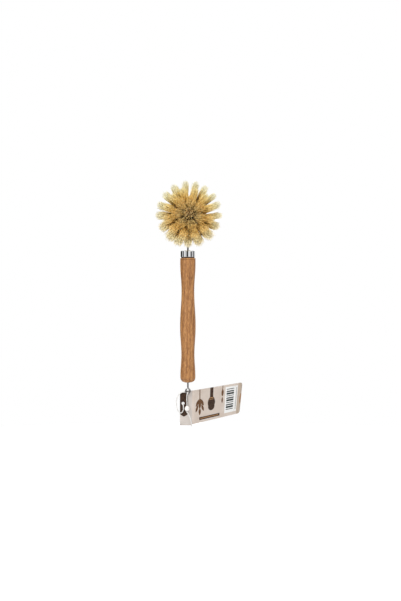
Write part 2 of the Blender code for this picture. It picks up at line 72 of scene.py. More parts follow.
def addPiece(name, data, body, materials, node):
    piece = placeObject(name, data)
    for material in materials:
        data.materials.append(material)
    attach(piece, body)
    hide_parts(node)
    return piece


def spinProfile(profile, steps, closed=False):
    # a profile in (radius, height), turned about Z
    build = bmesh.new()
    verts = [build.verts.new((radius, 0, height)) for radius, height in profile]
    ends = verts[1:] + verts[:1] if closed else verts[1:]
    edges = [build.edges.new(pair) for pair in zip(verts, ends)]
    bmesh.ops.spin(
        build, geom=verts + edges, cent=(0, 0, 0), axis=(0, 0, 1),
        angle=2 * math.pi, steps=steps, use_merge=True,
    )
    bmesh.ops.remove_doubles(build, verts=build.verts, dist=weld)
    bmesh.ops.recalc_face_normals(build, faces=build.faces)
    return build


def arc(centre, radius, start, end, steps, squash=1.0):
    # points of an arc in (across, up), angles in degrees from across, squash makes it an oval
    points = []
    for step in range(steps + 1):
        turn = math.radians(start + (end - start) * step / steps)
        points.append((centre[0] + radius * math.cos(turn), centre[1] + radius * squash * math.sin(turn)))
    return points


def roundedPath(corners, stepDegrees):
    # straight runs with round bends, each corner is (point, bend radius)
    found = [Vector(corners[0][0])]
    for (before, _), (corner, radius), (after, _) in zip(corners, corners[1:], corners[2:]):
        corner = Vector(corner)
        back = (Vector(before) - corner).normalized()
        on = (Vector(after) - corner).normalized()
        turn = math.pi - back.angle(on)
        reach = radius * math.tan(turn / 2)
        centre = corner + (back + on).normalized() * radius / math.cos(turn / 2)
        start = corner + back * reach - centre
        axis = start.cross(corner + on * reach - centre).normalized()
        steps = max(3, math.ceil(math.degrees(turn) / stepDegrees))
        for step in range(steps + 1):
            found.append(centre + Matrix.Rotation(turn * step / steps, 3, axis) @ start)
    found.append(Vector(corners[-1][0]))
    return found


def addSpline(curve, points, closed=False):
    spline = curve.splines.new("POLY")
    spline.points.add(len(points) - 1)
    spline.use_cyclic_u = closed
    for target, point in zip(spline.points, points):
        target.co = (*point, 1)


def wireCurve(name, points, diameter, resolution):
    curve = bpy.data.curves.new(name, "CURVE")
    curve.dimensions = "3D"
    curve.bevel_depth = diameter / 2
    curve.bevel_resolution = resolution
    curve.use_fill_caps = True
    addSpline(curve, points)
    return curve


# Small helpers for materials

white, black = (1, 1, 1, 1), (0, 0, 0, 1)


def srgb(red, green, blue):
    # a colour as a picture editor gives it, from 0 to 255
    return (*(((value / 255 + 0.055) / 1.055) ** 2.4 for value in (red, green, blue)), 1)


def grey(level):
    return (level, level, level, 1)


def addNode(tree, kind, inputs=None, **settings):
    made = tree.nodes.new(kind)
    for name, value in settings.items():
        setattr(made, name, value)
    for key, value in (inputs or {}).items():
        if isinstance(value, bpy.types.NodeSocket):
            tree.links.new(value, made.inputs[key])
        else:
            made.inputs[key].default_value = value
    return made


def calculate(tree, operation, first, second=0.0, third=0.0, clamp=False):
    inputs = {0: first, 1: second, 2: third}
    return addNode(tree, "ShaderNodeMath", inputs, operation=operation, use_clamp=clamp).outputs[0]


def timesPlus(tree, value, times, plus=0.0, clamp=False):
    return calculate(tree, "MULTIPLY_ADD", value, times, plus, clamp)


def mixColour(tree, factor, first, second, blend="MIX"):
    inputs = {0: factor, 6: first, 7: second}
    return addNode(tree, "ShaderNodeMix", inputs, data_type="RGBA", blend_type=blend).outputs[2]


def rampColours(tree, factor, stops):
    made = addNode(tree, "ShaderNodeValToRGB", {0: factor})
    elements = made.color_ramp.elements
    while len(elements) < len(stops):
        elements.new(0.5)
    for element, (place, colour) in zip(elements, stops):
        element.position = place
        element.color = colour
    return made.outputs[0]


def remap(tree, value, low, high, first=0.0, last=1.0):
    # from first to last as the value goes from low to high
    inputs = {0: value, 1: low, 2: high, 3: first, 4: last}
    return addNode(tree, "ShaderNodeMapRange", inputs).outputs[0]


def splitVector(tree, vector):
    return addNode(tree, "ShaderNodeSeparateXYZ", {0: vector}).outputs


def mapVector(tree, vector, **inputs):
    return addNode(tree, "ShaderNodeMapping", {"Vector": vector, **inputs}).outputs[0]


def stretchedNoise(tree, vector, stretch, detail=3.0, roughness=0.55, **settings):
    vector = mapVector(tree, vector, Scale=stretch)
    inputs = {"Vector": vector, "Scale": 1.0, "Detail": detail, "Roughness": roughness}
    return addNode(tree, "ShaderNodeTexNoise", inputs, **settings).outputs[0]


def newGroup(name, inputs, outputs):
    group = bpy.data.node_groups.new(name, "ShaderNodeTree")
    for label, kind in inputs:
        group.interface.new_socket(label, in_out="INPUT", socket_type=kind)
    for label, kind in outputs:
        group.interface.new_socket(label, in_out="OUTPUT", socket_type=kind)
    return group, group.nodes.new("NodeGroupInput").outputs, group.nodes.new("NodeGroupOutput").inputs


def newMaterial(name, **constants):
    material = bpy.data.materials.new(name)
    material.use_nodes = True
    tree = material.node_tree
    shader = tree.nodes["Principled BSDF"]
    for label, value in constants.items():
        shader.inputs[label.replace("_", " ")].default_value = value
    return material, tree, shader


def plug(shader, **found):
    # joins what varies over the surface to the shader's own sockets
    for label, value in found.items():
        shader.id_data.links.new(value, shader.inputs[label.replace("_", " ")])


def uvPlace(tree):
    return addNode(tree, "ShaderNodeUVMap").outputs[0]


def objectPlace(tree):
    return addNode(tree, "ShaderNodeTexCoord").outputs["Object"]


def addBump(tree, shader, height, strength, distance):
    # distance is how deep the pattern goes, in metres
    inputs = {"Height": height, "Strength": strength, "Distance": distance}
    plug(shader, Normal=addNode(tree, "ShaderNodeBump", inputs).outputs[0])


# Camera, level, looking along +Y

view = {
    "place": (0.0145, -1.0, 0.0299),
    "lens": 52.09,
    "sensor": 36.0,
    "clipStart": 0.01,
}


def makeCamera():
    camera = bpy.data.cameras.new("camera")
    camera.lens = view["lens"]
    camera.sensor_width = view["sensor"]
    camera.clip_start = view["clipStart"]
    holder = placeObject("camera", camera)
    holder.location = view["place"]
    holder.rotation_euler = (math.pi / 2, 0, 0)
    bpy.context.scene.camera = holder


makeCamera()
print("camera placed")


# Thread loop: from the top of the bead up to the eye, through it, round the card's free edge,
# through the card's hole, down behind the card, under its bottom edge and back to the bead

thread = {
    "diameter": 0.0011,
    "step": 0.0009,
    "resolution": 3,
    "colour": srgb(244, 242, 240),
    "shade": srgb(212, 208, 202),
    "fluff": (2600, 2600, 2600),
    "twist": 150.0,  # turns of the lay from end to end
    "plies": 2,
    "bump": (0.6, 0.00006),
    "route": (
        (-0.00100, -0.00045, -0.09130),
        (-0.00100, -0.00050, -0.08990),
        (-0.00105, -0.00095, -0.08680),
        (-0.00120, -0.00155, -0.08300),
        (-0.00110, -0.00180, -0.07960),
        (-0.00070, -0.00190, -0.07750),
        (-0.00030, -0.00168, -0.07640),
        (-0.00010, -0.00094, -0.07562),
        (-0.00012, 0.00000, -0.07533),
        (-0.00055, 0.00098, -0.07538),
        (-0.00145, 0.00162, -0.07566),
        (-0.00320, 0.00175, -0.07582),
        (-0.00600, 0.00160, -0.07580),
        (-0.00880, 0.00110, -0.07700),
        (-0.01150, 0.00080, -0.08020),
        (-0.01310, 0.00070, -0.08450),
        (-0.01330, 0.00070, -0.08950),
        (-0.01240, 0.00080, -0.09420),
        (-0.01080, 0.00110, -0.09790),
        (-0.00860, 0.00145, -0.09960),
        (-0.00660, 0.00160, -0.09890),
        (-0.00540, 0.00160, -0.09620),
        (-0.00515, 0.00145, -0.09300),
        (-0.00535, 0.00120, -0.09080),
        (-0.00552, 0.00146, -0.08920),
        (-0.00560, 0.00240, -0.08818),
        (-0.00560, 0.00370, -0.08812),
        (-0.00552, 0.00474, -0.08900),
        (-0.00525, 0.00520, -0.09050),
        (-0.00430, 0.00510, -0.09300),
        (-0.00180, 0.00490, -0.09800),
        (0.00120, 0.00490, -0.10430),
        (0.00360, 0.00480, -0.11000),
        (0.00420, 0.00488, -0.11250),
        (0.00440, 0.00458, -0.11430),
        (0.00450, 0.00356, -0.11522),
        (0.00450, 0.00234, -0.11527),
        (0.00445, 0.00136, -0.11445),
        (0.00425, 0.00092, -0.11280),
        (0.00395, 0.00088, -0.11100),
        (0.00340, 0.00080, -0.10820),
        (0.00210, 0.00040, -0.10380),
        (0.00030, -0.00020, -0.10020),
        (-0.00080, -0.00042, -0.09870),
        (-0.00100, -0.00045, -0.09750),
    ),
}


def smoothRoute(points, step):
    # evenly spaced points on a smooth curve through the given ones
    between = 24
    points = [Vector(point) for point in points]
    points = [2 * points[0] - points[1], *points, 2 * points[-1] - points[-2]]
    fine = []
    for p0, p1, p2, p3 in zip(points, points[1:], points[2:], points[3:]):
        for index in range(between):
            t = index / between
            fine.append(
                p1 + (p2 - p0) * t / 2 + (2 * p0 - 5 * p1 + 4 * p2 - p3) * t**2 / 2
                + (3 * p1 - p0 - 3 * p2 + p3) * t**3 / 2
            )
    fine.append(points[-2])
    lengths = [0.0]
    for first, second in zip(fine, fine[1:]):
        lengths.append(lengths[-1] + (second - first).length)
    count = round(lengths[-1] / step)
    found, index = [], 0
    for number in range(count + 1):
        wanted = lengths[-1] * number / count
        while index < len(fine) - 2 and lengths[index + 1] < wanted:
            index += 1
        share = (wanted - lengths[index]) / (lengths[index + 1] - lengths[index])
        found.append(fine[index].lerp(fine[index + 1], share))
    return found, lengths[-1]


def threadMaterial():
    material, tree, shader = newMaterial("spun white thread", Roughness=0.75, Sheen_Weight=0.25)
    fluff = stretchedNoise(tree, objectPlace(tree), thread["fluff"], detail=2.0)
    plug(shader, Base_Color=mixColour(tree, fluff, thread["shade"], thread["colour"]))
    along, around, _ = splitVector(tree, uvPlace(tree))
    lay = timesPlus(tree, along, thread["twist"], around)
    ply = calculate(tree, "SINE", calculate(tree, "MULTIPLY", lay, thread["plies"] * 2 * math.pi))
    addBump(tree, shader, ply, *thread["bump"])
    return material


def makeThread():
    points, length = smoothRoute(thread["route"], thread["step"])
    curve = wireCurve("tagThread", points, thread["diameter"], thread["resolution"])
    piece = addPiece("tagThread", curve, "tag", [threadMaterial()], "tag_string")
    print(f"thread laid, {length * 1000:.1f} mm")
    return piece, length


# Wood

wood = {
    "tones": (  # from the hard dark lines to the soft light ones
        (0.50, srgb(116, 70, 31)), (0.69, srgb(160, 108, 57)), (0.88, srgb(197, 142, 84)),
    ),
    "pore": srgb(84, 50, 26),
    # how close each pattern is, across and along the grain
    "sway": (70, 70, 9),
    "fibres": (1500, 1500, 260),
    "streaks": (560, 560, 100),
    "patches": (120, 120, 45),
    "pores": (2300, 2300, 290),
    "ringPace": (420.0, 160.0),  # how fast year rings pass along X and Y
    "ringSway": 7.0,
    "ringTurn": 3.1,
    # what each pattern adds to the tone
    "ringShare": 0.12,
    "fibreShare": 0.80,
    "streakShare": 0.32,
    "patchShare": 0.16,
    "poreEdge": (0.60, 0.72),
    "poreDepth": 0.5,
    "poreSink": -0.9,
    "roughness": (0.22, 0.42),  # what the fibres add, and the least
    "bump": (0.35, 0.00008),
}


def woodGroup():
    # grain runs along Z of the vector, in metres
    group, given, out = newGroup(
        "woodGrain",
        [("Vector", "NodeSocketVector")],
        [("Color", "NodeSocketColor"), ("Roughness", "NodeSocketFloat"), ("Height", "NodeSocketFloat")],
    )
    vector = given[0]
    sway = stretchedNoise(group, vector, wood["sway"], detail=2.0)
    x, y, _ = splitVector(group, vector)
    paceX, paceY = wood["ringPace"]
    across = timesPlus(group, x, paceX, calculate(group, "MULTIPLY", y, paceY))
    rings = timesPlus(group, sway, wood["ringSway"], across)
    bands = calculate(group, "SINE", calculate(group, "MULTIPLY", rings, wood["ringTurn"]))
    bands = timesPlus(group, bands, 0.5, 0.5)
    fibres = stretchedNoise(group, vector, wood["fibres"], detail=4.0, roughness=0.65)
    streaks = stretchedNoise(group, vector, wood["streaks"], detail=2.0)
    patches = stretchedNoise(group, vector, wood["patches"], detail=2.0)
    tone = calculate(group, "MULTIPLY", fibres, wood["fibreShare"])
    for pattern, share in ((bands, "ringShare"), (streaks, "streakShare"), (patches, "patchShare")):
        tone = timesPlus(group, pattern, wood[share], tone)
    colour = rampColours(group, tone, wood["tones"])
    pores = stretchedNoise(group, vector, wood["pores"], detail=1.0)
    pores = remap(group, pores, *wood["poreEdge"], 0.0, wood["poreDepth"])
    group.links.new(mixColour(group, pores, colour, wood["pore"]), out[0])
    group.links.new(timesPlus(group, fibres, *wood["roughness"]), out[1])
    group.links.new(timesPlus(group, pores, wood["poreSink"], fibres), out[2])
    return group


def woodMaterial(name, group, location, rotation, paintedShadeAndHighlight=None):
    material, tree, shader = newMaterial(name, Coat_Weight=0.12, Coat_Roughness=0.35)
    place = objectPlace(tree)
    inputs = {"Vector": mapVector(tree, place, Location=location, Rotation=rotation)}
    grain = addNode(tree, "ShaderNodeGroup", inputs, node_tree=group).outputs
    colour = grain["Color"]
    # bands by height multiplied into the wood: painted shade and painted highlight at the handle's
    # shoulder
    if paintedShadeAndHighlight:
        up = splitVector(tree, place)[2]
        low, high = paintedShadeAndHighlight[0][0], paintedShadeAndHighlight[-1][0]
        stops = [((height - low) / (high - low), grey(tone)) for height, tone in paintedShadeAndHighlight]
        paintedBands = rampColours(tree, remap(tree, up, low, high), stops)
        colour = mixColour(tree, 1.0, colour, paintedBands, "MULTIPLY")
    plug(shader, Base_Color=colour, Roughness=grain["Roughness"])
    addBump(tree, shader, grain["Height"], *wood["bump"])
    return material


# Handle: the frame's turned profile, drawn finer

handle = {
    "shoulder": 0.0784,
    "bead": 0.0012,
    "groove": 0.0003,
    "butt": -0.0643,
    "stations": (  # height, diameter
        (0.07323, 0.0177),
        (0.04116, 0.0147),
        (0.0, 0.0180),
        (-0.03215, 0.0151),
        (-0.0569, 0.0173),
    ),
    "edgeRound": 0.0003,
    "tenonRadius": 0.00765,
    "tenonTop": 0.0861,
    "boreRadius": 0.00235,
    "boreEnd": 0.0474,
    "pilotRadius": 0.0012,
    "pilotEnd": -0.0450,
    "buttPower": 3.0,
    "buttFlat": 0.0018,  # the plain ring round the pilot hole
    "steps": 96,
    "edgeSteps": 6,
    "swellSteps": 16,
    "buttSteps": 13,
    "paintedShadeAndHighlight": (  # height, tone at the shoulder: painted shade in the groove and in the gap under the ferrule, a painted highlight on the rim between them
        (0.07620, 1.0), (0.07660, 0.60), (0.07705, 0.55), (0.07730, 1.0), (0.07750, 1.5), (0.07800, 1.5),
        (0.07825, 0.25), (0.07980, 0.15),
    ),
}


def makeHandle(material):
    profile = [
        (0, handle["boreEnd"]),
        (handle["boreRadius"], handle["boreEnd"]),
        (handle["boreRadius"], handle["tenonTop"]),
        (handle["tenonRadius"], handle["tenonTop"]),
        (handle["tenonRadius"], handle["shoulder"]),
    ]
    shoulder = handle["stations"][0][1] / 2
    edge = handle["edgeRound"]
    profile += arc((shoulder - edge, handle["shoulder"] - edge), edge, 90, 0, handle["edgeSteps"])
    bead, groove = handle["shoulder"] - handle["bead"], handle["groove"]
    profile += [(shoulder, bead), (shoulder - groove, bead - groove), (shoulder, bead - 2 * groove)]
    for (top, first), (bottom, second) in zip(handle["stations"], handle["stations"][1:]):
        for step in range(handle["swellSteps"]):
            share = step / handle["swellSteps"]
            wave = (1 - math.cos(math.pi * share)) / 2
            profile.append(((first + (second - first) * wave) / 2, top + (bottom - top) * share))
    endHeight, endDiameter = handle["stations"][-1]
    drop, power = endHeight - handle["butt"], handle["buttPower"]
    for step in range(handle["buttSteps"]):
        share = math.sin(math.pi / 2 * step / handle["buttSteps"])
        width = endDiameter / 2 * (1 - share**power) ** (1 / power)
        profile.append((width, endHeight - drop * share))
    profile += [
        (handle["pilotRadius"] + handle["buttFlat"], handle["butt"]),
        (handle["pilotRadius"], handle["butt"]),
        (handle["pilotRadius"], handle["pilotEnd"]),
        (0, handle["pilotEnd"]),
    ]
    mesh = smoothMesh(spinProfile(profile, handle["steps"]), "turnedHandle")
    addPiece("turnedHandle", mesh, "grip", [material], "handle")


# Metals: the marks roughen the surface, the spots tint it

plating = {
    "dull": srgb(218, 220, 222),
    "bright": srgb(240, 240, 242),
    "marks": (500, 500, 900),
    "spots": (500, 500, 900),
    "detail": 4.0,
    "roughness": (0.07, 0.02),  # what the marks add, and the least
    "bump": (0.15, 0.00003),
}

drawnWire = {
    "dull": srgb(84, 80, 80),
    "bright": srgb(158, 155, 153),
    "marks": (2400, 2400, 260),
    "spots": (700, 700, 700),
    "detail": 3.0,
    "roughness": (0.22, 0.14),
    "bump": (0.2, 0.00003),
}


def metalMaterial(name, look):
    material, tree, shader = newMaterial(name, Metallic=1.0)
    place = objectPlace(tree)
    marks = stretchedNoise(tree, place, look["marks"], look["detail"])
    spots = stretchedNoise(tree, place, look["spots"], look["detail"])
    colour = mixColour(tree, spots, look["dull"], look["bright"])
    plug(shader, Base_Color=colour, Roughness=timesPlus(tree, marks, *look["roughness"]))
    addBump(tree, shader, marks, *look["bump"])
    return material


# Ferrule

ferrule = {
    "radius": 0.00845,
    "base": 0.0797,
    "top": 0.0869,
    "cone": 0.0010,
    "wall": 0.0005,
    "corner": 0.0008,
    "hole": 0.00235,
    "lip": 0.0002,
    "steps": 96,
    "cornerSteps": 10,
    "lipSteps": 4,
}


def makeFerrule(material):
    radius, base, top, corner = (ferrule[key] for key in ("radius", "base", "top", "corner"))
    wall, hole, lip = (ferrule[key] for key in ("wall", "hole", "lip"))
    profile = [(hole, top + ferrule["cone"])]
    profile += arc((radius - corner, top - corner), corner, 90, 0, ferrule["cornerSteps"])
    profile += arc((radius - lip, base + lip), lip, 0, -90, ferrule["lipSteps"])
    profile += [
        (radius - wall, base),
        (radius - wall, top - wall),
        (hole, top - wall + ferrule["cone"]),
    ]
    mesh = smoothMesh(spinProfile(profile, ferrule["steps"], closed=True), "capFerrule")
    addPiece("capFerrule", mesh, "grip", [material], "ferrule")


# Bail: one wire from pivot to pivot, folded deep in the handle

bail = {
    "diameter": 0.0019,
    "side": 0.0015,
    "pivotHeight": 0.1275,
    "pivotEnd": 0.0143,
    "arm": 0.02195,
    "shoulder": 0.1103,
    "crotch": 0.0967,
    "fold": 0.04865,
    "leg": 0.0011,
    "bends": (0.0026, 0.0140, 0.0045, 0.0011),
    "bendStep": 6,  # degrees from point to point round a bend
    "resolution": 5,
}


def makeBail(material):
    pivotBend, shoulderBend, crotchBend, foldBend = bail["bends"]
    sides = []
    for side in (-1, 1):
        leg = side * bail["leg"]
        sides.append([
            ((bail["side"] + side * bail["pivotEnd"], 0, bail["pivotHeight"]), 0),
            ((bail["side"] + side * bail["arm"], 0, bail["pivotHeight"]), pivotBend),
            ((bail["side"] + side * bail["arm"], leg / 2, bail["shoulder"]), shoulderBend),
            ((0, leg, bail["crotch"]), crotchBend),
            ((0, leg, bail["fold"]), foldBend),
        ])
    left, right = sides
    path = roundedPath(left + right[::-1], bail["bendStep"])
    curve = wireCurve("wireBail", path, bail["diameter"], bail["resolution"])
    addPiece("wireBail", curve, "grip", [material], "head_bail")


# Hanging eye

eye = {
    "wire": 0.0018,
    "width": 0.0066,
    "height": 0.0076,
    "centre": -0.0743,
    "shankTop": -0.0453,
    "bend": 0.0013,
    "bendTurn": 67.5,  # degrees
    "bendSteps": 9,
    "ringSteps": 60,
    "clearance": 0.0003,  # between the ring's end and the shank
    "resolution": 5,
}


def makeEye(material):
    radius, bend = eye["wire"] / 2, eye["bend"]
    across, up = eye["width"] / 2 - radius, eye["height"] / 2 - radius
    start = math.degrees(math.asin(bend / across))
    stop = math.degrees(math.asin((radius + eye["clearance"] / 2) / across))
    points = [(0, eye["shankTop"])]
    centre = (bend, eye["centre"] + up + bend)
    points += arc(centre, bend, 180, 180 + eye["bendTurn"], eye["bendSteps"])
    points += arc((0, eye["centre"]), across, 90 - start, stop - 270, eye["ringSteps"], up / across)
    curve = wireCurve("hangingEye", [(x, 0, z) for x, z in points], eye["wire"], eye["resolution"])
    addPiece("hangingEye", curve, "grip", [material], "screw_eye")


# Head block and tufts share the head's own frame: Z out of the bristles, Y up

head = {
    "place": Matrix.Translation((0.0015, 0, 0.1275)) @ Matrix.Rotation(math.pi / 2, 4, "X"),
    "radius": 0.0200,
    "front": 0.0140,
    "back": 0.0070,
    "dome": 0.0120,
    "backRound": 0.0022,
    "pinHole": 0.00125,
    "pinDepth": 0.0060,
    "tuftHole": 0.00185,
    "tuftDepth": 0.0036,
    "steps": 128,
    "domeSteps": 18,
    "backSteps": 8,
    "drillSides": 24,
}

# Each ring of tufts: out is its radius as a share of the block's, tilt and firstTurn are degrees,
# fan is how wide a tuft opens and bow how far it bends outward, as shares of its length,
# lean is each tuft's own tip to one side in degrees, and splay is how far use has spread it
tufts = {
    "centre": {"count": 1, "out": 0.0, "tilt": 0.0, "firstTurn": 0.0, "fan": 0.3125, "bow": 0.0},
    "inner": {"count": 7, "out": 0.305, "tilt": 18.0, "firstTurn": 130.0, "fan": 0.248, "bow": 0.12},
    "middle": {
        "count": 12, "out": 0.575, "tilt": 38.0, "firstTurn": 105.0, "fan": 0.1995, "bow": 0.10,
        "splay": (0.95, 0.92, 0.95, 1.00, 1.06, 1.10, 1.12, 1.14, 1.12, 1.08, 1.02, 0.95),
    },
    "outer": {
        "count": 17, "out": 0.810, "tilt": 58.0, "firstTurn": 100.0, "fan": 0.18335, "bow": 0.02,
        "lean": (-5, -3, 0, 0, 4, 4, 5, 2, -2, -2, 0, 5, 1, -3, 0, -2, -3),
        "splay": (
            0.82, 0.80, 0.84, 0.78, 0.84, 0.84, 1.10, 1.40, 1.36, 1.10, 1.36, 1.40, 1.30, 1.12, 1.06,
            1.02, 0.94,
        ),
    },
}


def domeHeight(radius):
    share = min(radius / head["radius"], 1)
    return head["front"] - head["dome"] * (1 - math.sqrt(1 - share**2))


def tuftPlaces():
    found = []
    for ring, own in tufts.items():
        count, radius = own["count"], own["out"] * head["radius"]
        for number in range(count):
            turn = math.radians(own["firstTurn"] - 360 * number / count)
            mouth = (radius * math.cos(turn), radius * math.sin(turn), domeHeight(radius))
            turning = Matrix.Rotation(turn, 4, "Z") @ Matrix.Rotation(math.radians(own["tilt"]), 4, "Y")
            found.append({
                "node": f"tuft_{ring}" if count == 1 else f"tuft_{ring}_{number + 1:02d}",
                "matrix": Matrix.Translation(mouth) @ turning,
                "fan": own["fan"] * (own["splay"][number] if "splay" in own else 1),
                "lean": own["lean"][number] if "lean" in own else 0,
                "bow": own["bow"],
            })
    return found


def makeHeadBlock(material):
    radius, back, roundness = head["radius"], head["back"], head["backRound"]
    middle = (0, head["front"] - head["dome"])
    profile = arc(middle, radius, 90, 0, head["domeSteps"], head["dome"] / radius)
    profile += arc((radius - roundness, roundness - back), roundness, 0, -90, head["backSteps"])
    profile.append((0, -back))
    block = placeObject("headBlock", smoothMesh(spinProfile(profile, head["steps"]), "headBlock"))
    drills = [(head["tuftHole"], head["tuftDepth"], tuft["matrix"]) for tuft in tuftPlaces()]
    for side in (-1, 1):
        turned = Matrix.Translation((side * radius, 0, 0)) @ Matrix.Rotation(math.pi / 2, 4, "Y")
        drills.append((head["pinHole"], head["pinDepth"], turned))
    build = bmesh.new()
    for width, depth, matrix in drills:
        bmesh.ops.create_cone(
            build, cap_ends=True, segments=head["drillSides"], radius1=width, radius2=width,
            depth=2 * depth, matrix=matrix,
        )
    cutter = placeObject("holeCutter", smoothMesh(build, "holeCutter"))
    holes = block.modifiers.new("holes", "BOOLEAN")
    holes.operation = "DIFFERENCE"
    holes.solver = "EXACT"
    holes.object = cutter
    drilled = evaluatedMesh(block)
    for made in (block, cutter):
        bpy.data.objects.remove(made)
    drilled.transform(head["place"])
    drilled.set_sharp_from_angle(angle=sharpAngle)
    addPiece("domedBlock", drilled, "head", [material], "head_block")


# Fibres: each tuft is a bundle of locks that leaves its hole tight and opens out, with loose ones
# round it. Distances from the head's axis are in mm, places along a fibre are shares of its length

fibre = {
    "length": 0.0240,
    "rootRadius": 0.00150,
    "below": 0.0012,
    "crimp": 0.00022,
    # how a stalk opens out, strays and bows, as powers of the share of its length
    "fanPower": 0.50,
    "strayPower": 1.5,
    "bowPower": 2.0,
    "cut": 0.10,  # how much shorter the fibres on the front of a tilted tuft are
    "crown": 0.09,  # how much shorter those at a tuft's edge are
    "seed": 29,
    # colour by distance from the head's axis, paler outward: partly bleached fibres, partly painted light
    # shining through the thin tips
    "bleachAndBacklight": (
        (0, srgb(228, 198, 138)), (7, srgb(255, 236, 174)), (11, srgb(255, 230, 160)),
        (16, srgb(255, 226, 146)), (21, srgb(255, 233, 160)), (26, srgb(255, 241, 186)),
        (31, srgb(255, 251, 218)), (36, srgb(255, 255, 240)),
    ),
    # what it is multiplied by, darker and more orange towards the lower side of the head
    "lowerTint": (
        (3, srgb(226, 220, 204)), (10, srgb(200, 192, 166)), (16, srgb(244, 236, 212)),
        (25, srgb(246, 230, 202)), (31, srgb(255, 248, 236)),
    ),
    "lowerTintHere": 0.48,  # its share at the height of the head's middle
    "lowerTintReach": 0.024,  # over how many metres it grows from none to full
    # painted shade at the fibres' roots, deep in each tuft
    "rootShade": ((0.0, srgb(226, 204, 156)), (0.30, white)),
    "shaded": ((0.42, srgb(150, 118, 68)), (0.80, white)),  # painted shade low on the fibres, between the tufts near the axis
    "cutEndShadeShare": ((0.80, black), (1.0, white)),  # painted shade on the cut ends near the axis
    # the colour of the painted shade on the cut ends
    "cutEndShadeColour": srgb(190, 164, 118),
    "nearReach": 0.025,  # metres from the axis at which the painted shade near it ends
    # darker and lighter locks, by tone, which fade towards the tips
    "tones": (
        (0.24, srgb(106, 76, 36)), (0.34, srgb(206, 180, 130)), (0.45, srgb(255, 248, 230)), (0.55, white),
    ),
    "tipFade": ((0.45, black), (0.90, grey(0.75))),
    "lockShare": 0.55,
    "streakShare": 0.45,
    "streaks": (22, 1.2, 1),
    "roughness": (0.2, 0.5),  # what the streaks add, and the least
    "bump": (0.5, 0.0002),
}

lockCount = 31  # in each tuft

# The two kinds of stalk: levels are places along it and its width there, inset is what its way out
# from the tuft's middle is multiplied by (in the middle, and what is added towards the edge), column
# is its own strip of U, and the pairs below that are the least and the most of a random value
stalks = {
    "lock": {
        "count": lockCount,
        "sides": 6,
        "levels": (
            (0.0, 0.7), (0.14, 0.92), (0.30, 1.04), (0.48, 1.06), (0.64, 1.0), (0.78, 0.84), (0.89, 0.60),
            (0.96, 0.34), (1.0, 0.10),
        ),
        "swells": True,
        "thick": 1.12 / math.sqrt(lockCount),  # over the bundle's radius
        "inset": (1 - 1 / math.sqrt(lockCount), 0.0),
        "stray": 0.08,
        "column": (0.08, 0.84),
        "jitter": (-0.2, 0.2),
        "crimp": (0.8, 1.6),
        "reach": (0.80, 1.0),
        "waves": (0.5, 1.2),
        "thickness": (0.88, 1.12),
    },
    "loose": {
        "count": 200,
        "sides": 3,
        "levels": [(n / 6, 1 - 0.25 * n / 6) for n in range(7)],  # a quarter thinner at its tip
        "swells": False,
        "thick": 0.00015,  # in metres
        "inset": (0.55, 0.45),
        "stray": 0.16,
        "column": (0.5, 0.0),
        "jitter": (-0.15, 0.15),
        "crimp": (0.5, 1.5),
        "reach": (0.86, 1.04),
        "waves": (1.2, 2.6),
        "thickness": (0.8, 1.2),
    },
}


def fibreMaterial():
    material, tree, shader = newMaterial(
        "dry plant fibre", Specular_IOR_Level=0.25, Sheen_Weight=0.9, Sheen_Roughness=0.5,
        Sheen_Tint=(1, 0.82, 0.46, 1),
    )
    x, _, z = head["place"].translation
    flat = mapVector(tree, objectPlace(tree), Location=(-x, 0, -z), Scale=(1, 0, 1))
    away = addNode(tree, "ShaderNodeVectorMath", {0: flat}, operation="LENGTH").outputs["Value"]
    widest = fibre["bleachAndBacklight"][-1][0]
    outward = calculate(tree, "MULTIPLY", away, 1000.0 / widest)
    # paler outward: partly bleached fibres, partly painted light shining through the thin tips
    bleachedAndBacklit, lowerTint = (
        rampColours(tree, outward, [(distance / widest, colour) for distance, colour in fibre[name]])
        for name in ("bleachAndBacklight", "lowerTint")
    )
    height = splitVector(tree, flat)[2]
    # darker and more orange towards the lower side of the head
    lowerShare = timesPlus(tree, height, -1 / fibre["lowerTintReach"], fibre["lowerTintHere"], clamp=True)
    colour = mixColour(tree, lowerShare, bleachedAndBacklit, lowerTint, "MULTIPLY")
    turned, along, _ = splitVector(tree, uvPlace(tree))
    # painted shade near the axis: at the roots, low between the tufts and on the cut ends
    near = timesPlus(tree, away, -1 / fibre["nearReach"], 1.0, clamp=True)
    rootShade, shaded, cutEndShadeShare, tip = (
        rampColours(tree, along, fibre[name]) for name in ("rootShade", "shaded", "cutEndShadeShare", "tipFade")
    )
    paintedDepthShade = mixColour(tree, near, rootShade, shaded, "MULTIPLY")
    colour = mixColour(tree, 1.0, colour, paintedDepthShade, "MULTIPLY")
    # painted shade on the cut ends near the axis
    cutEndShadeShare = calculate(tree, "MULTIPLY", cutEndShadeShare, near)
    colour = mixColour(tree, cutEndShadeShare, colour, fibre["cutEndShadeColour"], "MULTIPLY")
    inputs = {"W": calculate(tree, "FLOOR", turned)}
    lock = addNode(tree, "ShaderNodeTexWhiteNoise", inputs, noise_dimensions="1D").outputs[0]
    streak = stretchedNoise(
        tree, uvPlace(tree), fibre["streaks"], detail=1.0, roughness=0.6, noise_dimensions="2D",
    )
    tone = calculate(tree, "MULTIPLY", streak, fibre["streakShare"])
    tone = timesPlus(tree, lock, fibre["lockShare"], tone)
    shade = mixColour(tree, tip, rampColours(tree, tone, fibre["tones"]), white)
    colour = mixColour(tree, 1.0, colour, shade, "MULTIPLY")
    plug(shader, Base_Color=colour, Roughness=timesPlus(tree, streak, *fibre["roughness"]))
    addBump(tree, shader, streak, *fibre["bump"])
    return material


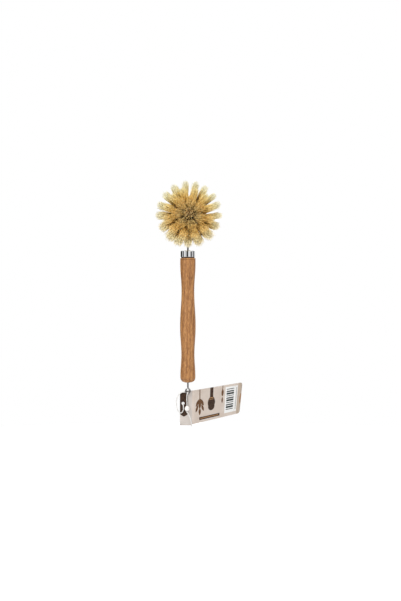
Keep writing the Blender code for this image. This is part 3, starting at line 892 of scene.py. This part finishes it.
def stalkTemplate(name, sides, levels):
    # a straight stalk of unit length and radius, V along it and U round it
    build = bmesh.new()
    uvLayer = build.loops.layers.uv.new("UVMap")
    ring = bmesh.ops.create_circle(build, cap_ends=True, segments=sides, radius=1)["verts"]
    face = ring[0].link_faces[0]
    for _ in range(levels):
        paintedDepthShade = bmesh.ops.extrude_discrete_faces(build, faces=[face])
        face = paintedDepthShade["faces"][0]
        bmesh.ops.translate(build, verts=face.verts, vec=(0, 0, 1 / levels))
    bmesh.ops.recalc_face_normals(build, faces=build.faces)
    for face in build.faces:
        middle = face.calc_center_median()
        ahead = math.atan2(middle.y, middle.x)
        for loop in face.loops:
            corner = math.atan2(loop.vert.co.y, loop.vert.co.x)
            turn = ahead + (corner - ahead + math.pi) % (2 * math.pi) - math.pi
            loop[uvLayer].uv = (0.5 + turn / (2 * math.pi), loop.vert.co.z)
    mesh = plainMesh(build, name)
    return {
        "mesh": mesh,
        "shape": [vertex.co.copy() for vertex in mesh.vertices],
        "turns": [loop.uv.x for loop in mesh.uv_layers[0].data],
    }


def addStalk(build, template, place, levels, width, route, spin, column):
    # lays the stalk along a route, its levels at their shares of the length
    mesh, shape = template["mesh"], template["shape"]
    spun = Matrix.Rotation(spin, 3, "Z")
    start, span = column
    for vertex, unit in zip(mesh.vertices, shape):
        along, share = levels[round(unit.z * (len(levels) - 1))]
        vertex.co = place @ (route(along) + spun @ Vector((unit.x, unit.y, 0)) * width(along) * share)
    for loop, corner, turn in zip(mesh.uv_layers[0].data, mesh.loops, template["turns"]):
        along, _ = levels[round(shape[corner.vertex_index].z * (len(levels) - 1))]
        loop.uv = (start + span * turn, along)
    build.from_mesh(mesh)


def spiralWay(number, count, jitter=0.0):
    # even places on a round of radius 1
    turn = number * math.pi * (3 - math.sqrt(5)) + jitter
    return Vector((math.cos(turn), math.sin(turn), 0)) * math.sqrt((number + 0.5) / count)


def bundleRadius(along, fan):
    return fibre["rootRadius"] + (fan - fibre["rootRadius"]) * along ** fibre["fanPower"]


def stalkRoute(way, fan, reach, drift, stray, crimp, waves, phase):
    # from its place in the hole to its place in the opened tuft
    reach *= 1 + fibre["cut"] * min(way.x, 0) - fibre["crown"] * way.length_squared

    def route(along):
        point = way * bundleRadius(along, fan)
        point += stray * along ** fibre["strayPower"] + drift * along ** fibre["bowPower"]
        point += crimp * math.sin(phase + 2 * math.pi * waves * along) * along
        point.z = along * (reach + fibre["below"]) - fibre["below"]
        return point

    return route


def stalkWidth(kind, thick, fan):
    return lambda along: thick * (bundleRadius(along, fan) if kind["swells"] else 1)


def makeTufts(material):
    length = fibre["length"]
    templates = [
        stalkTemplate(name, kind["sides"], len(kind["levels"]) - 1) for name, kind in stalks.items()
    ]
    chance = random.Random(fibre["seed"])
    cell = 0
    for tuft in tuftPlaces():
        place = head["place"] @ tuft["matrix"]
        spin = Matrix.Rotation(chance.uniform(0, math.pi), 3, "Z")
        fan = tuft["fan"] * length
        drift = Vector((tuft["bow"], math.tan(math.radians(tuft["lean"])), 0)) * length
        build = bmesh.new()
        build.loops.layers.uv.new("UVMap")
        for template, kind in zip(templates, stalks.values()):
            inset, added = kind["inset"]
            left, span = kind["column"]
            for number in range(kind["count"]):
                way = spin @ spiralWay(number, kind["count"], chance.uniform(*kind["jitter"]))
                way *= inset + added * way.length
                stray = Vector((chance.gauss(0, 1), chance.gauss(0, 1), 0)) * kind["stray"] * fan
                crimp = fibre["crimp"] * chance.uniform(*kind["crimp"])
                phase = chance.uniform(0, 2 * math.pi)
                crimp = Vector((math.cos(phase), math.sin(phase), 0)) * crimp
                reach = length * chance.uniform(*kind["reach"])
                waves = chance.uniform(*kind["waves"])
                route = stalkRoute(way, fan, reach, drift, stray, crimp, waves, phase)
                width = stalkWidth(kind, chance.uniform(*kind["thickness"]) * kind["thick"], fan)
                column = (cell + left, span)
                addStalk(build, template, place, kind["levels"], width, route, phase, column)
                cell += 1
        name = f"{tuft['node']}_fibres"
        addPiece(name, plainMesh(build, name), "head", [material], tuft["node"])
    for template in templates:
        bpy.data.meshes.remove(template["mesh"])


# Swing tag: a flat card with a punched hole, creased once

tag = {
    "height": 0.0387,
    "flap": 0.0142,
    "flapDrop": 0.0015,
    "panel": 0.0766,
    "thickness": 0.0004,
    "cut": 0.0042,
    "elbowShares": (0.85, 0.42),  # of the cut: across and down to the bend in its slant
    "cutEndShare": 2.2,
    "corner": 0.0032,
    "cornerSteps": 10,
    "crease": 0.0024,
    "creaseSteps": 6,
    "left": -0.0092,
    "top": -0.0739,
    "middle": 0.0028,
    "hole": (0.0036, 0.0148, 0.0017),  # across, down, radius
    "holeSides": 32,
    "turns": (38.9, 42.9),  # degrees past the crease, at the top edge and the bottom
    "rises": (3.8, 4.6),
    "column": 0.0030,  # the card is cut into columns and rows, so that it can bend
    "flapColumns": 3,
    "rows": 10,
    "merge": 0.000005,  # points of its filled outline closer than this are one
    "uvLength": 0.1,  # metres of card to 1 of U or V
    "ground": srgb(220, 209, 201),
    "groundWarm": srgb(200, 182, 166),
    "inks": {
        "flapTone": srgb(206, 197, 190),
        "brown": srgb(84, 54, 32),
        "darkBrown": srgb(46, 29, 18),
        "tan": srgb(168, 124, 82),
        "endTone": srgb(188, 171, 154),
        "white": srgb(240, 240, 238),
        "barInk": srgb(46, 52, 50),
        "columnInk": srgb(150, 146, 142),
    },
    "streaked": {"brown": srgb(134, 94, 58), "darkBrown": srgb(86, 60, 40)},
    "streaks": (1.7, 0.30, 1),
    "streakEdge": (0.42, 0.70),
    "cloud": (0.06, 0.09, 1),
    "grain": (9, 9, 1),
    "grainTones": ((0.3, grey(0.86)), (0.7, white)),
    "bump": (0.12, 0.00003),
    "back": (srgb(208, 203, 194), srgb(218, 214, 206)),
    "pulp": (300, 300, 1),
    "pulpBump": (0.2, 0.00004),
}


def tagPoint(along, down):
    left = Vector((tag["left"], tag["middle"], tag["top"] - down))
    past = along - tag["flap"]
    if past <= 0:
        return left + Vector((along, 0, 0))
    share = down / tag["height"]
    turn = math.radians(tag["turns"][0] + (tag["turns"][1] - tag["turns"][0]) * share)
    rise = math.radians(tag["rises"][0] + (tag["rises"][1] - tag["rises"][0]) * share)
    bent = min(past, tag["crease"])
    angle = turn * bent / tag["crease"]
    radius = tag["crease"] / turn
    across = radius * math.sin(angle) + (past - bent) * math.cos(turn)
    back = radius * (1 - math.cos(angle)) + (past - bent) * math.sin(turn)
    return left + Vector((tag["flap"] + across, back, past * math.sin(rise)))


def tagOutline():
    length, deep = tag["flap"] + tag["panel"], tag["height"] + tag["flapDrop"]
    cut, corner, steps = tag["cut"], tag["corner"], tag["cornerSteps"]
    elbow = [share * cut for share in tag["elbowShares"]]
    points = [(0, deep), (0, cut), elbow, (tag["cutEndShare"] * cut, 0)]
    points += arc((length - corner, corner), corner, -90, 0, steps)
    points += arc((length - corner, tag["height"] - corner), corner, 0, 90, steps)
    points += [(tag["flap"], tag["height"]), (tag["flap"] - tag["flapDrop"], deep)]
    return points


def makeTag(materials):
    curve = bpy.data.curves.new("tagOutline", "CURVE")
    curve.dimensions = "2D"
    curve.fill_mode = "FRONT"
    across, down, radius = tag["hole"]
    hole = arc((across, down), radius, 0, 360, tag["holeSides"])[:-1]
    for outline in (tagOutline(), hole):
        addSpline(curve, [(along, -drop, 0) for along, drop in outline], closed=True)
    holder = placeObject("tagOutline", curve)
    flat = evaluatedMesh(holder)
    bpy.data.objects.remove(holder)
    build = bmesh.new()
    build.from_mesh(flat)
    bmesh.ops.remove_doubles(build, verts=build.verts, dist=tag["merge"])
    length = tag["flap"] + tag["panel"]
    steps = tag["creaseSteps"]
    cuts = [tag["flap"] + tag["crease"] * step / steps for step in range(steps + 1)]
    while cuts[-1] < length - tag["column"]:
        cuts.append(cuts[-1] + tag["column"])
    cuts += [tag["flap"] - tag["column"] * (step + 1) for step in range(tag["flapColumns"])]
    planes = [((cut, 0, 0), (1, 0, 0)) for cut in cuts]
    for row in range(1, tag["rows"]):
        planes.append(((0, -tag["height"] * row / tag["rows"], 0), (0, 1, 0)))
    for place, normal in planes:
        geometry = build.verts[:] + build.edges[:] + build.faces[:]
        bmesh.ops.bisect_plane(build, geom=geometry, dist=weld, plane_co=place, plane_no=normal)
    uvLayer = build.loops.layers.uv.verify()
    for face in build.faces:
        for loop in face.loops:
            loop[uvLayer].uv = (loop.vert.co.x / tag["uvLength"], -loop.vert.co.y / tag["uvLength"])
    for vert in build.verts:
        vert.co = tagPoint(vert.co.x, -vert.co.y)
    bmesh.ops.recalc_face_normals(build, faces=build.faces)
    if sum((face.normal.y * face.calc_area() for face in build.faces), 0) > 0:
        bmesh.ops.reverse_faces(build, faces=build.faces)
    mesh = smoothMesh(build, "foldedTag")
    piece = addPiece("foldedTag", mesh, "tag", materials, "swing_tag")
    card = piece.modifiers.new("card", "SOLIDIFY")
    card.thickness = tag["thickness"]
    card.offset = 0
    card.material_offset = 1
    card.material_offset_rim = 1


markEdges = {"bar": 0.03, "leaf": 0.1, "dot": 0.12}  # how soft each edge is, in half sizes


def markGroup(kind, soft):
    # a printed mark: 1 inside its outline, in a frame of its own centre, turn and half size
    group, given, out = newGroup(
        f"{kind}Mark",
        [
            ("Vector", "NodeSocketVector"), ("Centre", "NodeSocketVector"),
            ("Turn", "NodeSocketVector"), ("Half Size", "NodeSocketVector"),
        ],
        [("Mask", "NodeSocketFloat")],
    )
    inputs = {"Vector": given[0], "Location": given[1], "Rotation": given[2], "Scale": given[3]}
    own = addNode(group, "ShaderNodeMapping", inputs, vector_type="TEXTURE").outputs[0]
    x, y, _ = (calculate(group, "ABSOLUTE", part) for part in splitVector(group, own))
    if kind == "bar":
        outward = calculate(group, "MAXIMUM", x, y)
    elif kind == "leaf":
        outward = timesPlus(group, y, y, x)
    else:
        outward = timesPlus(group, x, x, calculate(group, "MULTIPLY", y, y))
    group.links.new(remap(group, outward, 1.0, 1.0 - soft), out[0])
    return group


# What is printed, the later over the earlier, in millimetres from the flap's free edge and the top:
# (mark, x, y, turn, half width, half height)
prints = (
    ("flapTone", [("bar", 7.1, 20.0, 0, 7.1, 22.0)]),
    ("brown", [
        ("bar", 25.0, 6.0, 0, 0.7, 6.5),
        ("leaf", 25.0, 17.5, 0, 2.2, 6.0),
        ("leaf", 21.6, 15.5, 32, 1.9, 5.2),
        ("leaf", 28.4, 15.5, -32, 1.9, 5.2),
        ("leaf", 20.6, 22.0, 24, 1.7, 4.6),
        ("leaf", 29.4, 22.0, -24, 1.7, 4.6),
        ("leaf", 25.0, 26.0, 0, 1.9, 4.4),
        ("bar", 60.0, 2.5, 0, 0.5, 3.0),
        ("dot", 60.0, 8.6, 0, 1.8, 4.4),
        ("leaf", 60.0, 17.6, 0, 1.3, 4.0),
    ]),
    ("darkBrown", [
        ("bar", 43.0, 5.5, 0, 2.5, 6.0),
        ("leaf", 43.0, 18.0, 0, 6.0, 9.5),
        ("dot", 43.0, 22.5, 0, 5.2, 4.8),
        ("bar", 40.5, 34.2, 0, 16.5, 1.7),
        ("bar", 4.6, 13.0, 0, 4.9, 13.5),
        ("leaf", 4.6, 26.0, 0, 4.9, 4.2),
    ]),
    ("tan", [
        ("bar", 40.5, 34.2, 0, 14.6, 0.45),
        ("bar", 43.0, 12.2, 0, 2.7, 0.5),
        ("bar", 43.0, 14.0, 0, 3.4, 0.3),
    ]),
    ("endTone", [("bar", 88.5, 19.3, 0, 4.0, 20.0)]),
    ("white", [("bar", 72.5, 18.6, 0, 8.2, 16.2), ("bar", 82.4, 18.6, 0, 1.6, 16.2)]),
    ("barInk", [("bar", 72.5, 5.6 + 2.75 * n, 0, 6.0, 0.45 + 0.35 * (n % 3)) for n in range(10)]),
    ("columnInk", [("bar", 82.4, 18.6, 0, 0.5, 14.0)]),
    ("tan", [("dot", 90.6, 20.0, 0, 2.4, 7.0)]),
)


def tagInks(tree, place, colour):
    # lays each ink over the one before, the two browns with paler streaks
    groups = {kind: markGroup(kind, soft) for kind, soft in markEdges.items()}
    streaks = stretchedNoise(tree, place, tag["streaks"], roughness=0.7)
    streaks = remap(tree, streaks, *tag["streakEdge"])
    for ink, marks in prints:
        covered = None
        for kind, x, y, turn, halfWidth, halfHeight in marks:
            inputs = {
                "Vector": place, "Centre": (x, y, 0), "Turn": (0, 0, math.radians(turn)),
                "Half Size": (halfWidth, halfHeight, 1),
            }
            mark = addNode(tree, "ShaderNodeGroup", inputs, node_tree=groups[kind]).outputs[0]
            covered = mark if covered is None else calculate(tree, "MAXIMUM", covered, mark)
        tone = tag["inks"][ink]
        if ink in tag["streaked"]:
            tone = mixColour(tree, streaks, tone, tag["streaked"][ink])
        colour = mixColour(tree, covered, colour, tone)
    return colour


def tagMaterials():
    printed, tree, shader = newMaterial(
        "printed card", Roughness=0.5, Specular_IOR_Level=0.25, Coat_Weight=0.06, Coat_Roughness=0.25,
    )
    scale = 1000 * tag["uvLength"]  # to millimetres
    place = mapVector(tree, uvPlace(tree), Scale=(scale, scale, 1))
    cloud = stretchedNoise(tree, place, tag["cloud"])
    colour = tagInks(tree, place, mixColour(tree, cloud, tag["ground"], tag["groundWarm"]))
    grain = stretchedNoise(tree, place, tag["grain"], detail=2.0)
    speck = rampColours(tree, grain, tag["grainTones"])
    plug(shader, Base_Color=mixColour(tree, 1.0, colour, speck, "MULTIPLY"))
    addBump(tree, shader, grain, *tag["bump"])
    plain, tree, shader = newMaterial("plain card", Roughness=0.7)
    pulp = stretchedNoise(tree, uvPlace(tree), tag["pulp"])
    plug(shader, Base_Color=mixColour(tree, pulp, *tag["back"]))
    addBump(tree, shader, pulp, *tag["pulpBump"])
    return [printed, plain]


# Bead that closes the thread's loop, with a small lip round the thread at each end

bead = {
    "centre": (-0.0010, -0.00045, -0.0944),
    "radius": 0.00275,
    "half": 0.0028,
    "endShare": 0.36,
    "lip": 0.00035,
    "mouth": 0.00062,
    "steps": 48,
    "sideSteps": 20,
    "tones": (srgb(236, 230, 224), srgb(246, 243, 240)),
    "cloud": (900, 900, 900),
    "roughness": (0.15, 0.28),  # what the cloud adds, and the least
}


def makeBead():
    radius, half = bead["radius"], bead["half"]
    flat = math.acos(bead["endShare"])
    mouth, lip = bead["mouth"], bead["lip"]
    upper = [
        (0, half - lip),
        (mouth, half - lip),
        (mouth, half + lip),
        (mouth + lip / 2, half + lip),
        (mouth + lip, half),
    ]
    end = math.degrees(flat)
    side = arc((0, 0), radius, end, -end, bead["sideSteps"], half / math.sin(flat) / radius)
    lower = [(across, -height) for across, height in reversed(upper)]
    build = spinProfile(upper + side + lower, bead["steps"])
    bmesh.ops.translate(build, verts=build.verts, vec=bead["centre"])
    material, tree, shader = newMaterial("white moulded plastic", Coat_Weight=0.3, Coat_Roughness=0.1)
    cloud = stretchedNoise(tree, objectPlace(tree), bead["cloud"], detail=2.0)
    colour = mixColour(tree, cloud, *bead["tones"])
    plug(shader, Base_Color=colour, Roughness=timesPlus(tree, cloud, *bead["roughness"]))
    mesh = smoothMesh(build, "lockBead")
    return addPiece("lockBead", mesh, "tag", [material], "string_lock")


# Floor, world and lamps

studio = {
    "floorHeight": -0.335,
    "floorRadius": 1.6,
    "floorColour": grey(0.95),
    "floorGlow": 0.42,
    "aim": (0, 0, 0.03),
    "lamps": (  # place, size, power
        ((-0.75, -0.95, 0.85), 0.7, 9.6),
        ((0.85, -0.80, 0.66), 0.6, 5.8),
    ),
    # azimuth from the camera's side in degrees (right is positive), level
    "walls": (
        (-180, 0.90), (-160, 0.40), (-150, 0.00), (-106, 0.00), (-100, 0.58), (-84, 0.56), (-79, 0.10),
        (-66, 0.06), (-60, 1.00), (-46, 1.00), (-40, 0.75), (-20, 0.55), (-13, 0.00), (1, 0.00),
        (6, 0.75), (17, 0.85), (20, 1.00), (33, 1.00), (37, 0.55), (47, 0.45), (53, 0.10), (67, 0.10),
        (72, 0.80), (87, 0.74), (92, 0.12), (111, 0.12), (118, 0.75), (150, 0.80), (180, 0.90),
    ),
    "ceiling": grey(0.85),
    "ceilingEdge": (0.35, 0.85),  # heights between which the walls turn into it
    "behind": 0.87,  # directions with more +Y than this look past the object, white in reflections
}


def makeFloor():
    build = bmesh.new()
    bmesh.ops.create_circle(build, cap_ends=True, segments=96, radius=studio["floorRadius"])
    bmesh.ops.translate(build, verts=build.verts, vec=(0, 0, studio["floorHeight"]))
    floor = placeObject("floor", smoothMesh(build, "floor"))
    material, tree, shader = newMaterial(
        "white floor", Roughness=0.9, Base_Color=studio["floorColour"], Emission_Color=white,
    )
    rays = addNode(tree, "ShaderNodeLightPath").outputs
    glow = calculate(tree, "MULTIPLY", rays["Is Camera Ray"], studio["floorGlow"])
    plug(shader, Emission_Strength=glow)
    floor.data.materials.append(material)


def makeWorld():
    world = bpy.data.worlds.new("studio")
    world.use_nodes = True
    tree = world.node_tree
    tree.nodes.clear()
    x, y, z = splitVector(tree, addNode(tree, "ShaderNodeTexCoord").outputs["Generated"])
    azimuth = calculate(tree, "ARCTAN2", x, calculate(tree, "MULTIPLY", y, -1.0))
    share = timesPlus(tree, azimuth, 0.5 / math.pi, 0.5)
    stops = [((degrees + 180) / 360, grey(level)) for degrees, level in studio["walls"]]
    upper = remap(tree, z, *studio["ceilingEdge"])
    room = mixColour(tree, upper, rampColours(tree, share, stops), studio["ceiling"])
    rays = addNode(tree, "ShaderNodeLightPath").outputs
    behind = calculate(tree, "GREATER_THAN", y, studio["behind"])
    mirrored = calculate(tree, "MULTIPLY", rays["Is Glossy Ray"], behind)
    plain = calculate(tree, "MAXIMUM", rays["Is Camera Ray"], rays["Is Transmission Ray"])
    seen = mixColour(tree, calculate(tree, "MAXIMUM", plain, mirrored), room, white)
    background = addNode(tree, "ShaderNodeBackground", {0: seen, 1: 1.0})
    addNode(tree, "ShaderNodeOutputWorld", {0: background.outputs[0]})
    bpy.context.scene.world = world


def makeLamps():
    aim = Vector(studio["aim"])
    for number, (place, size, power) in enumerate(studio["lamps"]):
        lamp = bpy.data.lights.new(f"softbox{number}", "AREA")
        lamp.shape = "SQUARE"
        lamp.size = size
        lamp.energy = power
        holder = placeObject(lamp.name, lamp)
        holder.location = place
        holder.rotation_euler = (aim - Vector(place)).to_track_quat("-Z", "Y").to_euler()


threadPiece, threadLength = makeThread()
woodGrain = woodGroup()
makeHandle(woodMaterial(
    "turned handle wood", woodGrain, (0.013, 0.004, 0.02), (0.02, -0.03, 0.3), handle["paintedShadeAndHighlight"],
))
print("handle turned")
makeFerrule(metalMaterial("bright plating", plating))
wireFinish = metalMaterial("drawn wire", drawnWire)
makeBail(wireFinish)
makeEye(wireFinish)
print("metal pieces made")
makeHeadBlock(woodMaterial("turned block wood", woodGrain, (0.02, 0.01, 0.0), (0, math.pi / 2, 0)))
makeTufts(fibreMaterial())
print("head filled")
makeTag(tagMaterials())
beadPiece = makeBead()
print("tag printed and folded")
makeFloor()
makeWorld()
makeLamps()
bpy.context.scene.view_settings.view_transform = "Standard"
print("studio lit")
